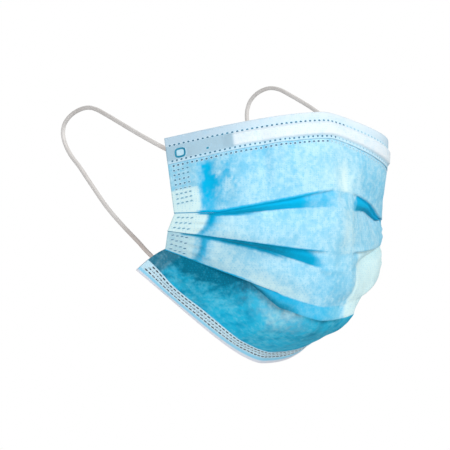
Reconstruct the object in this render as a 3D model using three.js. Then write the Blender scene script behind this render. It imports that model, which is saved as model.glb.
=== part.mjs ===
// A disposable three-pleat surgical face mask, opened as it is worn, in millimetres.
// +X is the wearer's left, -Y is forward and +Z is up. The origin is where the face fills the mask:
// on the centre plane, level with the mouth and in line with the two top corners.
import * as THREE from 'three';

// Cloth, as it is cut and welded flat.
const flatWidth = 175; // side edge to side edge, along the cloth
const clothWall = 1; // the plies together
const hemWall = 0.8; // the strip folded over the top and bottom edges
const gap = 0.3; // clearance between neighbouring pieces
const weldWidth = 15; // flat welded band along each side edge

// Opened form, as it is worn.
const openHeight = 130; // top edge to bottom edge on the centre line
const noseReach = 48; // top edge in front of its own corners
const crownDepth = 5; // how far the chin panel bulges between its crease and the bottom edge
const hemTurn = 3.6; // how far the chin panel lies in above the bottom hem, which turns down at the front

// Pleats.
const facetWidth = 10; // cloth between an outer fold and its inner crease, pulled flat
const stepDepth = 5; // how far the inner crease stands back where a pleat is deepest

// Hems and nose wire.
const topHemWidth = 15.5;
const bottomHemWidth = 10;
const wireLength = 102;
const wireWidth = 4.4;
const wireThickness = 0.9;
const wireFromEdge = 9; // centre of the wire below the top edge

// Ear loops: round elastic cords, each from the weld inside its upper corner, round behind the ear
// and back to the weld inside the chin panel.
const loopDiameter = 2.4;
const loopSides = 8;
const loopSteps = 40;
const rightLoopPath = [
  [-62.9, -7, 35.7],
  [-64.7, -3.7, 37.4],
  [-66.5, -0.3, 39.1],
  [-70.3, 13.4, 45.7],
  [-71, 33.9, 54.2],
  [-71.5, 50, 61],
  [-71.5, 60.4, 64.9],
  [-71.5, 68.5, 66.5],
  [-71.5, 78, 65.9],
  [-71.5, 87.2, 63.1],
  [-71.5, 92.6, 59],
  [-71.3, 94.2, 54.4],
  [-71, 92.6, 49],
  [-70.5, 87.2, 42],
  [-70, 79.4, 35.4],
  [-69, 68.2, 24.5],
  [-67.5, 55.3, 12],
  [-66, 41.2, 1],
  [-65.2, 28.7, -7.4],
  [-64.2, 23.6, -11.7],
  [-62.6, 20.9, -14.6],
  [-60.8, 19.9, -17.1],
  [-59.3, 18.8, -19.8],
];
const leftLoopPath = [
  [57.7, -11.5, 34.5],
  [58.3, -8.2, 36.7],
  [58.7, -4.8, 38.9],
  [59.9, 2.6, 44],
  [61.5, 15, 53.8],
  [61.8, 30, 64.9],
  [61.3, 40.5, 71.3],
  [60.6, 50.5, 76.4],
  [59, 60.4, 81.4],
  [58, 68, 84.8],
  [57.2, 76, 86.3],
  [56.5, 83.2, 85.4],
  [56, 89.2, 83],
  [55.5, 93.4, 79.2],
  [55, 95.2, 73.8],
  [55, 94.6, 67.5],
  [55.5, 90.5, 58],
  [56.5, 81.5, 45],
  [58.5, 68.5, 29.5],
  [61, 54.5, 14.5],
  [62.9, 41, 2],
  [64.3, 29, -7.5],
  [64.6, 20.8, -12.9],
  [63.8, 15.5, -16.3],
  [61.9, 14.6, -18.9],
  [60, 13.7, -21.7],
];

const half = flatWidth / 2;

// The lines that run from side to side, where they cross the centre plane: forward reach in shares of
// noseReach and height in shares of openHeight, both from the origin.
const fronts = {
  top: { reach: 1, height: 0.452 },
  fold1: { reach: 1.13, height: 0.143 },
  fold2: { reach: 1.08, height: -0.105 },
  fold3: { reach: 0.92, height: -0.318 },
  bottom: { reach: -0.17, height: -0.545 },
};

// The same lines at the two side edges, with how they go there: settle is the share of the width where the
// side's height is reached and arch is how late, even is the share of the way back that starts at the centre
// plane, and curl is how late the rest of it comes.
const sides = {
  right: {
    top: { reach: 0, height: 0.345, settle: 1, arch: 1.6, even: 0.42, curl: 3 },
    fold1: { reach: 0.21, height: 0.047, settle: 0.8, arch: 1, even: 0.36, curl: 3.8 },
    fold2: { reach: 0.12, height: -0.024, settle: 1, arch: 1.5, even: 0.42, curl: 3 },
    fold3: { reach: -0.15, height: -0.095, settle: 1, arch: 1.3, even: 0.6, curl: 2.5 },
    bottom: { reach: -0.59, height: -0.17, settle: 1, arch: 1.5, even: 0.1, curl: 3 },
  },
  left: {
    top: { reach: 0.14, height: 0.345, settle: 0.9, arch: 1.25, even: 0, curl: 7 },
    fold1: { reach: 0.15, height: 0.05, settle: 0.7, arch: 2, even: 0.4, curl: 3 },
    fold2: { reach: 0.1, height: -0.024, settle: 1, arch: 2.3, even: 0.42, curl: 3.1 },
    fold3: { reach: 0.12, height: -0.11, settle: 1, arch: 2, even: 0.3, curl: 3.3 },
    bottom: { reach: -0.59, height: -0.17, settle: 1, arch: 2.5, even: 0, curl: 4 },
  },
};

// One row for each pleat: where its flat stretch in the middle begins and ends, in shares of half the width,
// and its facet and step in shares of facetWidth and stepDepth.
const pleats = [
  { fold: 'fold1', flatFrom: 0.05, flatTo: 0.16, facet: 1, step: 0.9 },
  { fold: 'fold2', flatFrom: 0, flatTo: 0.2, facet: 0.98, step: 0.9 },
  { fold: 'fold3', flatFrom: -0.25, flatTo: 0.3, facet: 0.8, step: 1.3 },
];

// How a pleat opens from the welded band to its flat stretch: the crease drops clear of the fold
// in shares of the facet, and stands back in shares of the step.
const opening = [
  { along: 0, drop: 0.04, depth: 0.16 },
  { along: 0.25, drop: 0.19, depth: 0.6 },
  { along: 0.5, drop: 0.36, depth: 1 },
  { along: 0.75, drop: 0.66, depth: 0.75 },
  { along: 0.92, drop: 0.92, depth: 0.3 },
  { along: 1, drop: 1, depth: 0 },
];

// The lines that the hems and the cloth under them share, as distances from the edge.
const channelHalf = wireWidth / 2 + gap;
const shoulder = 1.2; // width over which the channel rises
const topLines = [wireFromEdge - channelHalf, wireFromEdge + channelHalf, topHemWidth];
const bottomLines = [bottomHemWidth / 2, bottomHemWidth];

// One row for each panel between folds: right and left are how far each half crowns outward and swing is how
// far its ends go back at the side edges, all in shares of crownDepth. lean below 1 brings the crown nearer to
// its upper edge, and parts are those of its height besides the lines of a hem.
const panels = [
  { right: 0.28, left: 0.28, swing: 0, lean: 1, parts: 3, above: topLines, below: [] },
  { right: 0.2, left: 0.2, swing: 0, lean: 1, parts: 3, above: [], below: [] },
  { right: 0.3, left: 0.3, swing: 0, lean: 1, parts: 3, above: [], below: [] },
  { right: 1, left: 0.4, swing: 0.6, lean: 0.7, parts: 4, above: [], below: bottomLines },
];

const stationCount = 50; // parts of the width
const noseBlunt = 0.06; // how blunt the ridge over the nose is, in shares of half the width
const crownFade = 30; // length over which the crowns grow from the side edges and blend across the centre
const turnFade = 28; // length over which the turn of the bottom hem fades to each side

// A smooth value between the rows of a table, which never overshoots them.
function follow(rows, column, x) {
  const last = rows.length - 1;
  if (x <= rows[0].along) return rows[0][column];
  if (x >= rows[last].along) return rows[last][column];
  const slope = (i) => (rows[i + 1][column] - rows[i][column]) / (rows[i + 1].along - rows[i].along);
  const tangent = (i) => {
    if (i === 0 || i === last) return 0;
    const before = slope(i - 1);
    const after = slope(i);
    return before * after <= 0 ? 0 : (2 * before * after) / (before + after);
  };
  const i = rows.findIndex((row) => x < row.along) - 1;
  const span = rows[i + 1].along - rows[i].along;
  const s = (x - rows[i].along) / span;
  const ease = s * s * (3 - 2 * s);
  const leave = s * (1 - s) * (1 - s) * span * tangent(i);
  const arrive = s * s * (s - 1) * span * tangent(i + 1);
  return rows[i][column] * (1 - ease) + rows[i + 1][column] * ease + leave + arrive;
}

// A rail's point at a share of its own half width.
function railPoint(front, side, width, share, sign) {
  const straight = Math.hypot(share, noseBlunt) - noseBlunt;
  const back = side.even * straight + (1 - side.even) * share ** side.curl;
  const reach = THREE.MathUtils.lerp(front.reach, side.reach, back) * noseReach;
  const lost = Math.min(share / side.settle, 1) ** side.arch;
  const height = THREE.MathUtils.lerp(front.height, side.height, lost) * openHeight;
  return new THREE.Vector3(sign * share * width, -reach, height);
}

// A rail half as a line of points, with the width at which its length is half of flatWidth.
function railHalf(name, hand) {
  const sign = hand === 'left' ? 1 : -1;
  const parts = 160;
  const line = (width) => {
    const points = [];
    for (let i = 0; i <= parts; i += 1) {
      points.push(railPoint(fronts[name], sides[hand][name], width, i / parts, sign));
    }
    return points;
  };
  const lengths = (points) => {
    const sums = [0];
    for (let i = 1; i < points.length; i += 1) sums.push(sums[i - 1] + points[i].distanceTo(points[i - 1]));
    return sums;
  };
  let narrow = 0;
  let wide = half;
  for (let i = 0; i < 40; i += 1) {
    const middle = (narrow + wide) / 2;
    if (lengths(line(middle))[parts] < half) narrow = middle;
    else wide = middle;
  }
  const points = line(narrow);
  return { points, sums: lengths(points) };
}

// The point of a line of points at a distance along it.
function along({ points, sums }, distance) {
  const last = points.length - 1;
  let i = sums.findIndex((sum) => sum > distance) - 1;
  if (i < 0) i = distance <= 0 ? 0 : last - 1;
  const s = (distance - sums[i]) / (sums[i + 1] - sums[i]);
  return points[i].clone().lerp(points[i + 1], s);
}

const railNames = Object.keys(fronts);
const railLines = Object.fromEntries(
  railNames.map((name) => [name, { right: railHalf(name, 'right'), left: railHalf(name, 'left') }]),
);

function onRail(name, t) {
  return along(railLines[name][t < 0 ? 'right' : 'left'], Math.abs(t));
}

// How far a pleat has opened at a station, from 0 at the welded band to 1 on its flat stretch.
function opened(pleat, t) {
  const weld = half - weldWidth;
  const from = pleat.flatFrom * half;
  const to = pleat.flatTo * half;
  if (t < from) return THREE.MathUtils.clamp((t + weld) / (from + weld), 0, 1);
  if (t > to) return THREE.MathUtils.clamp((weld - t) / (weld - to), 0, 1);
  return 1;
}

// Outward from the cloth, square to the way down and to the way across.
function outward(down, across) {
  return new THREE.Vector3().crossVectors(down, across).normalize();
}

// Where a panel of a given height has its points, as shares of that height from its upper edge.
function shares({ parts, above, below }, height) {
  const first = above.length ? above[above.length - 1] / height : 0;
  const last = below.length ? 1 - below[below.length - 1] / height : 1;
  const between = Array.from({ length: parts + 1 }, (_, k) => first + ((last - first) * k) / parts);
  const top = above.slice(0, -1).map((line) => line / height);
  const foot = below.slice(0, -1).map((line) => 1 - line / height).reverse();
  return [...(above.length ? [0] : []), ...top, ...between, ...foot, ...(below.length ? [1] : [])];
}

// How far a panel of a given height lies in at a share of it, which only the panel above a bottom hem does.
function turnedIn({ below }, t, s, height) {
  if (!below.length) return 0;
  const above = ((1 - s) * height) / bottomHemWidth;
  return hemTurn * above * Math.exp(1 - above - (t / turnFade) ** 2);
}

// The outer face of the cloth at a station, from the top edge to the bottom edge.
function section(t) {
  const across = onRail('fold2', t + 1).sub(onRail('fold2', t - 1)).normalize();
  const ridges = railNames.map((name) => onRail(name, t));
  const starts = [ridges[0]];
  pleats.forEach((pleat, i) => {
    const share = opened(pleat, t);
    const down = ridges[i + 1].clone().sub(ridges[i]).normalize();
    const drop = follow(opening, 'drop', share) * pleat.facet * facetWidth;
    const depth = follow(opening, 'depth', share) * pleat.step * stepDepth;
    const crease = ridges[i + 1].clone().addScaledVector(down, drop);
    starts.push(crease.addScaledVector(outward(down, across), -depth));
  });
  const grown = THREE.MathUtils.smoothstep(half - Math.abs(t), 0, crownFade);
  const leftward = THREE.MathUtils.smoothstep(t, -crownFade, crownFade);
  const points = [];
  panels.forEach((panel, i) => {
    const start = starts[i];
    const end = ridges[i + 1];
    const normal = outward(end.clone().sub(start), across);
    const crown = THREE.MathUtils.lerp(panel.right, panel.left, leftward) * grown;
    const height = start.distanceTo(end);
    shares(panel, height).forEach((s) => {
      const bow = Math.sin(Math.PI * s ** panel.lean) * crownDepth;
      const out = bow * crown - turnedIn(panel, t, s, height);
      const point = start.clone().lerp(end, s).addScaledVector(normal, out);
      point.y += bow * panel.swing * (1 - grown);
      points.push(point);
    });
  });
  return { points, across };
}

// For each point of a section, the way out of the cloth, lengthened at corners so that walls keep
// their thickness.
function mitres(points, across) {
  const faces = [];
  for (let i = 1; i < points.length; i += 1) faces.push(outward(points[i].clone().sub(points[i - 1]), across));
  return points.map((_, i) => {
    const before = faces[Math.max(i - 1, 0)];
    const after = faces[Math.min(i, faces.length - 1)];
    const middle = before.clone().add(after).normalize();
    return middle.divideScalar(Math.max(middle.dot(after), 0.35));
  });
}

const stations = [];
for (let i = 0; i <= stationCount; i += 1) {
  const t = half * ((2 * i) / stationCount - 1);
  const { points, across } = section(t);
  const ways = mitres(points, across);
  const sums = [0];
  for (let k = 1; k < points.length; k += 1) sums.push(sums[k - 1] + points[k].distanceTo(points[k - 1]));
  stations.push({ t, points, ways, sums });
}

// A point off the cloth at a station: its distance from the top or bottom edge, and how far out it stands.
function off(station, fromEdge, out, bottom) {
  const { points, ways, sums } = station;
  const total = sums[sums.length - 1];
  const distance = bottom ? total - fromEdge : fromEdge;
  const point = along({ points, sums }, distance);
  const way = along({ points: ways, sums }, distance);
  return point.addScaledVector(way, out);
}

// A closed solid from stations of pairs, each an outside point and the inside point behind it.
function sheetSolid(rows) {
  const pairs = rows[0].length;
  const ring = 2 * pairs;
  const position = [];
  rows.forEach((row) => {
    row.forEach(([outside]) => position.push(...outside));
    row.toReversed().forEach(([, inside]) => position.push(...inside));
  });
  const index = [];
  const quad = (a, b, c, d) => index.push(a, b, c, a, c, d);
  for (let i = 0; i < rows.length - 1; i += 1) {
    for (let k = 0; k < ring; k += 1) {
      const next = (k + 1) % ring;
      quad(i * ring + k, i * ring + next, (i + 1) * ring + next, (i + 1) * ring + k);
    }
  }
  const lastRing = (rows.length - 1) * ring;
  for (let k = 0; k < pairs - 1; k += 1) {
    const behind = ring - 1 - k;
    quad(k, behind, behind - 1, k + 1);
    quad(lastRing + k + 1, lastRing + behind - 1, lastRing + behind, lastRing + k);
  }
  const geometry = new THREE.BufferGeometry();
  geometry.setAttribute('position', new THREE.Float32BufferAttribute(position, 3));
  geometry.setIndex(index);
  geometry.computeVertexNormals();
  return geometry;
}

function bodyGeometry() {
  const edge = hemWall + gap;
  return sheetSolid(stations.map((station) => {
    const pairs = station.points.map((point, k) => [
      point,
      point.clone().addScaledVector(station.ways[k], -clothWall),
    ]);
    pairs[0] = [off(station, edge, 0, false), off(station, edge, -clothWall, false)];
    pairs[pairs.length - 1] = [off(station, edge, 0, true), off(station, edge, -clothWall, true)];
    return pairs.map(([outside, inside]) => [outside.toArray(), inside.toArray()]);
  }));
}

// A strip folded over an edge: up the outside, round the fold and down the inside. Its lines are distances
// from the edge, and lift is how far a line stands off the cloth besides the gap.
function hemGeometry(lines, backLines, bottom) {
  const front = gap;
  const back = -clothWall - gap;
  const crest = (front + back) / 2;
  return sheetSolid(stations.map((station) => {
    const at = (fromEdge, out) => off(station, fromEdge, out, bottom).toArray();
    const pairs = [
      ...lines.toReversed().map(({ fromEdge, lift = () => 0 }) => {
        const out = front + lift(station.t);
        return [at(fromEdge, out + hemWall), at(fromEdge, out)];
      }),
      [at(hemWall, front + hemWall), at(hemWall, front)],
      [at(0, crest), at(hemWall, crest)],
      [at(hemWall, back - hemWall), at(hemWall, back)],
      ...backLines.map((fromEdge) => [at(fromEdge, back - hemWall), at(fromEdge, back)]),
    ];
    return bottom ? pairs : pairs.toReversed();
  }));
}

// The channel stands off the cloth by the wire and a gap, and closes past the wire's ends.
function channel(t) {
  const past = Math.abs(t) - wireLength / 2 - gap;
  const closing = 6;
  return (wireThickness + gap) * (1 - THREE.MathUtils.smoothstep(past, 0, closing));
}

function topHemGeometry() {
  const [above, below, foot] = topLines;
  return hemGeometry([
    { fromEdge: above - shoulder },
    { fromEdge: above, lift: channel },
    { fromEdge: below, lift: channel },
    { fromEdge: below + shoulder },
    { fromEdge: foot },
  ], [above, below], false);
}

function bottomHemGeometry() {
  return hemGeometry(bottomLines.map((fromEdge) => ({ fromEdge })), bottomLines, true);
}

function wireGeometry() {
  const held = stations.filter(({ t }) => Math.abs(t) <= wireLength / 2);
  return sheetSolid(held.map((station) => [-1, 1].map((end) => {
    const fromEdge = wireFromEdge + (end * wireWidth) / 2;
    return [gap + wireThickness, gap].map((out) => off(station, fromEdge, out, false).toArray());
  })));
}

function loopGeometry(path) {
  const curve = new THREE.CatmullRomCurve3(path.map((point) => new THREE.Vector3(...point)));
  const round = new THREE.Shape().absarc(0, 0, loopDiameter / 2, 0, 2 * Math.PI);
  return new THREE.ExtrudeGeometry(round, { steps: loopSteps, curveSegments: loopSides, extrudePath: curve });
}

function piece(name, geometry, colour, roughness) {
  const material = new THREE.MeshStandardMaterial({ color: colour, roughness, metalness: 0 });
  const mesh = new THREE.Mesh(geometry, material);
  mesh.name = name;
  return mesh;
}

const mask = new THREE.Group();
mask.add(piece('mask_body', bodyGeometry(), '#8fd0ea', 0.85));
mask.add(piece('top_hem', topHemGeometry(), '#cfe7f4', 0.85));
mask.add(piece('bottom_hem', bottomHemGeometry(), '#cfe7f4', 0.85));
mask.add(piece('nose_wire', wireGeometry(), '#f2f5f6', 0.6));
mask.add(piece('ear_loop_right', loopGeometry(rightLoopPath), '#d9d7d6', 0.9));
mask.add(piece('ear_loop_left', loopGeometry(leftLoopPath), '#d9d7d6', 0.9));

export default mask;
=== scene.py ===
"""Dresses a pleated surgical face mask: cloth, hems, weld dots, ear loops, finishes, lights and camera."""
import logging
import math
from dataclasses import dataclass, field
from enum import Enum
from typing import Callable, Iterable

import bmesh
import bpy
import numpy as np
from mathutils import Matrix, Vector, noise


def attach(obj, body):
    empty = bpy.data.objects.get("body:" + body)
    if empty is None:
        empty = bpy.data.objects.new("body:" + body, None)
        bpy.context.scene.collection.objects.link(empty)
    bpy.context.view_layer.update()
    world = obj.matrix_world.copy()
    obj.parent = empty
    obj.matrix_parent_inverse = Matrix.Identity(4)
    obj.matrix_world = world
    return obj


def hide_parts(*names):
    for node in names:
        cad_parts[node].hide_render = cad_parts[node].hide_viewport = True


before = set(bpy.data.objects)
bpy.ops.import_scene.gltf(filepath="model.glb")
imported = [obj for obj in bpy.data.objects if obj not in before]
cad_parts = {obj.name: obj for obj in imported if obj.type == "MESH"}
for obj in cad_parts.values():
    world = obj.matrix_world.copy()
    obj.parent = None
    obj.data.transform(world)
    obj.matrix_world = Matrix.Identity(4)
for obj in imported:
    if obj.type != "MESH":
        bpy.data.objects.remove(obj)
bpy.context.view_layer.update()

MM = 0.001
DOT_PITCH = 2.57
log = logging.getLogger("mask")


class Hand(Enum):
    """The two halves of the mask, with the sign of X that each lies on."""

    RIGHT = -1
    LEFT = 1


def bell(x: np.ndarray | float, centre: float, width: float) -> np.ndarray | float:
    """A smooth bump of height 1."""
    return np.exp(-((x - centre) / width) ** 2)


def step(x: np.ndarray | float, low: float, high: float) -> np.ndarray | float:
    """A smooth rise from 0 at low to 1 at high."""
    s = np.clip((x - low) / (high - low), 0, 1)
    return s * s * (3 - 2 * s)


@dataclass(frozen=True)
class Front:
    """Where a rail crosses the centre plane, in shares of the nose reach and the open height."""

    reach: float
    height: float


@dataclass(frozen=True)
class Side:
    """Where a rail ends at a side edge, and how it goes there."""

    reach: float
    height: float
    settle: float
    arch: float
    even: float
    curl: float


@dataclass(frozen=True)
class Pleat:
    """A pleat's flat stretch in shares of half the width, its facet and step in shares of the form's."""

    flat_from: float
    flat_to: float
    facet: float
    step: float


@dataclass(frozen=True)
class Panel:
    """How a panel between two folds bulges at the right and left, and the rows of points down it."""

    right: float
    left: float
    lean: float
    swing: float
    rows: int


@dataclass(frozen=True)
class Dent:
    """A soft hollow or swelling of the cloth: its place and sizes in millimetres, and a panel number."""

    panel: int
    across: float
    down: float
    wide: float
    tall: float
    depth: float


@dataclass(frozen=True)
class Valley:
    """A narrow crease down a panel beside the welded band: its places across at the top and foot."""

    panel: int
    upper: float
    lower: float
    wide: float
    depth: float

    def away(self, t: np.ndarray, share: np.ndarray) -> np.ndarray:
        """How far a place is from the crease, in its own widths, beyond it when above 0."""
        line = self.upper + (self.lower - self.upper) * share + 1.6 * np.sin(math.pi * share)
        return (t - line) / self.wide


@dataclass
class MaskForm:
    """The outer face of the cloth in millimetres, as stations across its width and rows down it."""

    flat_width: float = 175.0
    weld_width: float = 15.0
    open_height: float = 130.0
    nose_reach: float = 48.0
    facet_width: float = 10.0
    step_depth: float = 5.0
    nose_blunt: float = 0.06
    crown_depth: float = 5.0
    crown_fade: float = 30.0
    hem_turn: float = 3.6
    turn_fade: float = 28.0
    bottom_hem: float = 10.0
    lip: float = 1.1
    stations: int = 180
    fronts: dict[str, Front] = field(default_factory=lambda: {
        "top": Front(1, 0.452),
        "fold1": Front(1.13, 0.143),
        "fold2": Front(1.08, -0.105),
        "fold3": Front(0.92, -0.318),
        "bottom": Front(-0.17, -0.545),
    })
    sides: dict[Hand, dict[str, Side]] = field(default_factory=lambda: {
        Hand.RIGHT: {
            "top": Side(0, 0.345, 1, 1.6, 0.42, 3),
            "fold1": Side(0.21, 0.047, 0.8, 1, 0.36, 3.8),
            "fold2": Side(0.12, -0.024, 1, 1.5, 0.42, 3),
            "fold3": Side(-0.15, -0.095, 1, 1.3, 0.6, 2.5),
            "bottom": Side(-0.59, -0.17, 1, 1.5, 0.1, 3),
        },
        Hand.LEFT: {
            "top": Side(0.14, 0.345, 0.9, 1.25, 0, 7),
            "fold1": Side(0.15, 0.05, 0.7, 2, 0.4, 3),
            "fold2": Side(0.1, -0.024, 1, 2.3, 0.42, 3.1),
            "fold3": Side(0.12, -0.11, 1, 2, 0.3, 3.3),
            "bottom": Side(-0.59, -0.17, 1, 2.5, 0, 4),
        },
    })
    pleats: tuple[Pleat, ...] = (
        Pleat(0.05, 0.16, 1, 0.9),
        Pleat(0, 0.2, 0.98, 0.9),
        Pleat(-0.25, 0.3, 0.8, 1.3),
    )
    opening_at: tuple[float, ...] = (0, 0.25, 0.5, 0.75, 0.92, 1)
    opening_drop: tuple[float, ...] = (0.04, 0.19, 0.36, 0.66, 0.92, 1)
    opening_depth: tuple[float, ...] = (0.16, 0.6, 1, 0.75, 0.3, 0)
    panels: tuple[Panel, ...] = (
        Panel(0.28, 0.28, 1, 0, 64),
        Panel(0.2, 0.2, 1, 0, 28),
        Panel(0.3, 0.3, 1, 0, 28),
        Panel(1, 0.4, 0.7, 0.6, 50),
    )
    facet_rows: int = 9
    wave: float = 1.5
    crinkle: float = 0.42
    weld_ripple: float = 0.32
    weld_rays: tuple[int, ...] = (5, 3, 3, 4)
    dents: tuple[Dent, ...] = (
        Dent(0, -66, 0.62, 5, 13, -1.3),
        Dent(0, -58, 0.78, 4, 8, -0.7),
        Dent(0, -50, 0.5, 6, 9, 0.5),
        Dent(0, -28, 0.5, 10, 16, 0.7),
        Dent(0, -37, 0.4, 3, 13, -0.9),
        Dent(0, -26, 0.45, 2.6, 9, 0.8),
        Dent(0, -21, 0.5, 3, 12, -0.8),
        Dent(1, -14, 0.5, 3, 8, -0.7),
        Dent(1, -46, 0.4, 4, 7, -0.6),
        Dent(2, -2, 0.5, 3.5, 8, -0.8),
        Dent(0, 40, 0.55, 10, 16, -0.9),
        Dent(1, -30, 0.5, 14, 9, 0.5),
        Dent(2, -35, 0.55, 14, 8, 0.5),
        Dent(3, -62, 0.3, 8, 10, -1.6),
        Dent(3, -40, 0.45, 14, 8, -0.9),
        Dent(3, -18, 0.3, 10, 7, 0.8),
        Dent(3, 55, 0.4, 10, 9, -1.2),
    )
    valleys: tuple[Valley, ...] = (
        Valley(1, -67.5, -70.5, 1.7, -1.1),
        Valley(2, -68.5, -70.5, 1.7, -1.0),
        Valley(1, 68.5, 70.5, 1.7, -0.9),
        Valley(2, 67.5, 69.5, 1.7, -0.9),
    )
    ridges: tuple[Valley, ...] = (
        Valley(2, 26, 17, 1.5, -0.6),
    )

    def __post_init__(self) -> None:
        """Works out the rails and then every station."""
        self.half = self.flat_width / 2
        self.names = list(self.fronts)
        self.rails = {
            hand: {name: self._rail(name, hand) for name in self.names} for hand in Hand
        }
        self.places = np.linspace(-self.half, self.half, self.stations + 1)
        self.build_grid()

    def _rail(self, name: str, hand: Hand) -> tuple[np.ndarray, np.ndarray]:
        """One half of a rail.

        Args:
            name: The rail's name in fronts and sides.
            hand: The half of the mask.

        Returns:
            Its points, and their distances from the centre plane along it.
        """
        front, side = self.fronts[name], self.sides[hand][name]
        share = np.linspace(0, 1, 161)
        straight = np.hypot(share, self.nose_blunt) - self.nose_blunt
        back = side.even * straight + (1 - side.even) * share ** side.curl
        reach = (front.reach + (side.reach - front.reach) * back) * self.nose_reach
        lost = np.minimum(share / side.settle, 1) ** side.arch
        height = (front.height + (side.height - front.height) * lost) * self.open_height
        narrow, wide = 0.0, self.half
        for _ in range(40):
            width = (narrow + wide) / 2
            points = np.stack([hand.value * share * width, -reach, height], 1)
            sums = np.r_[0, np.cumsum(np.linalg.norm(np.diff(points, axis=0), axis=1))]
            narrow, wide = (width, wide) if sums[-1] < self.half else (narrow, width)
        return points, sums

    def on_rail(self, name: str, t: float) -> np.ndarray:
        """The point of a rail at a signed distance t from the centre plane along it."""
        points, sums = self.rails[Hand.RIGHT if t < 0 else Hand.LEFT][name]
        return np.array([np.interp(abs(t), sums, points[:, k]) for k in range(3)])

    def opened(self, pleat: Pleat, t: float) -> float:
        """How far a pleat has opened at t, from 0 at the welded band to 1 on its flat stretch."""
        weld = self.half - self.weld_width
        start, end = pleat.flat_from * self.half, pleat.flat_to * self.half
        if t < start:
            return float(np.clip((t + weld) / (start + weld), 0, 1))
        if t > end:
            return float(np.clip((weld - t) / (weld - end), 0, 1))
        return 1.0

    def follow(self, values: tuple[float, ...], x: float) -> float:
        """A smooth value of one column of the opening table, which never overshoots its rows."""
        at = self.opening_at
        i = int(np.clip(np.searchsorted(at, x, side="right") - 1, 0, len(at) - 2))
        slopes = [(values[k + 1] - values[k]) / (at[k + 1] - at[k]) for k in range(len(at) - 1)]

        def tangent(k: int) -> float:
            """The slope at row k."""
            if k in (0, len(at) - 1) or slopes[k - 1] * slopes[k] <= 0:
                return 0.0
            return 2 * slopes[k - 1] * slopes[k] / (slopes[k - 1] + slopes[k])

        span = at[i + 1] - at[i]
        s = min(max((x - at[i]) / span, 0), 1)
        ease = s * s * (3 - 2 * s)
        leave = s * (1 - s) ** 2 * span * tangent(i)
        arrive = s * s * (s - 1) * span * tangent(i + 1)
        return values[i] * (1 - ease) + values[i + 1] * ease + leave + arrive

    def section(self, t: float) -> list[tuple[np.ndarray, np.ndarray, int, float, float]]:
        """The rows of one station.

        Args:
            t: The station's place along the cloth.

        Returns:
            A row for each point: its place, its way out, its panel (plus 0.5 on a facet), its share of the
            way down that, and how steeply the facet there is turned in.
        """
        across = self.on_rail("fold2", t + 1) - self.on_rail("fold2", t - 1)
        across /= np.linalg.norm(across)

        def out_of(down: np.ndarray) -> np.ndarray:
            """The unit way out of a stretch that goes down."""
            way = np.cross(down, across)
            return way / np.linalg.norm(way)

        ridges = [self.on_rail(name, t) for name in self.names]
        starts, turns = [ridges[0]], []
        for i, pleat in enumerate(self.pleats):
            share = self.opened(pleat, t)
            down = ridges[i + 1] - ridges[i]
            down /= np.linalg.norm(down)
            drop = self.follow(self.opening_drop, share) * pleat.facet * self.facet_width
            depth = self.follow(self.opening_depth, share) * pleat.step * self.step_depth
            turns.append(min(depth / (0.55 * self.step_depth), 1.0))
            starts.append(ridges[i + 1] + down * drop - out_of(down) * depth)
        grown = float(step(self.half - abs(t), 0, self.crown_fade))
        leftward = float(step(t, -self.crown_fade, self.crown_fade))
        rows = []
        for i, panel in enumerate(self.panels):
            start, end = starts[i], ridges[i + 1]
            way = out_of(end - start)
            if i:
                rows += self._facet(rows[-1][0], start, rows[-1][1], way, i, turns[i - 1])
            for k in range(panel.rows + 1):
                s = k / panel.rows
                bow = math.sin(math.pi * s ** panel.lean) * self.crown_depth
                crown = panel.right + (panel.left - panel.right) * leftward
                above = (1 - s) * np.linalg.norm(end - start) / self.bottom_hem * (i == len(self.pleats))
                turned = self.hem_turn * above * math.exp(1 - above - (t / self.turn_fade) ** 2)
                point = start + (end - start) * s + way * (bow * crown * grown - turned)
                point[1] += bow * panel.swing * (1 - grown)
                rows.append((point, way, i, s, 0.0))
        return rows

    def _facet(self, fold: np.ndarray, crease: np.ndarray, before: np.ndarray, after: np.ndarray,
               panel: int, turn: float) -> list[tuple[np.ndarray, np.ndarray, int, float, float]]:
        """The cloth from an outer fold, back under its lip and down to the inner crease.

        Args:
            fold: The fold's point.
            crease: The crease's point.
            before: The way out of the panel above.
            after: The way out of the panel below.
            panel: The number of the panel below.
            turn: How steeply the facet is turned in, from 0 to 1.

        Returns:
            Rows as section gives them.
        """
        inward = self.lip * min(1, turn * 1.6)
        down = crease - fold
        rows = []
        for k in range(1, self.facet_rows):
            s = k / self.facet_rows
            tuck = inward * (bell(s, 0.16, 0.16) - 0.25 * math.sin(math.pi * s))
            point = fold + down * max(s - 0.1 * min(1, turn * 2) * bell(s, 0, 0.2), 0.012 * k)
            way = before * (1 - s) + after * s
            rows.append((point - way * tuck, way, panel - 0.5, s, turn))
        return rows

    def build_grid(self) -> None:
        """Fills the arrays of places, ways out, panels, shares, turns and distances down the cloth."""
        sections = [self.section(t) for t in self.places]
        self.points = np.array([[row[0] for row in rows] for rows in sections])
        self.ways = np.array([[row[1] for row in rows] for rows in sections])
        self.panel = np.array([row[2] for row in sections[0]])
        self.share = np.array([row[3] for row in sections[0]])
        self.turn = np.array([[row[4] for row in rows] for rows in sections])
        self.ways /= np.linalg.norm(self.ways, axis=2, keepdims=True)
        steps = np.linalg.norm(np.diff(self.points, axis=1), axis=2)
        self.down = np.concatenate([np.zeros((len(steps), 1)), np.cumsum(steps, axis=1)], axis=1)
        self.bare = self.points.copy()
        self.points = self.points + self.ways * self.softness()[..., None]

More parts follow.
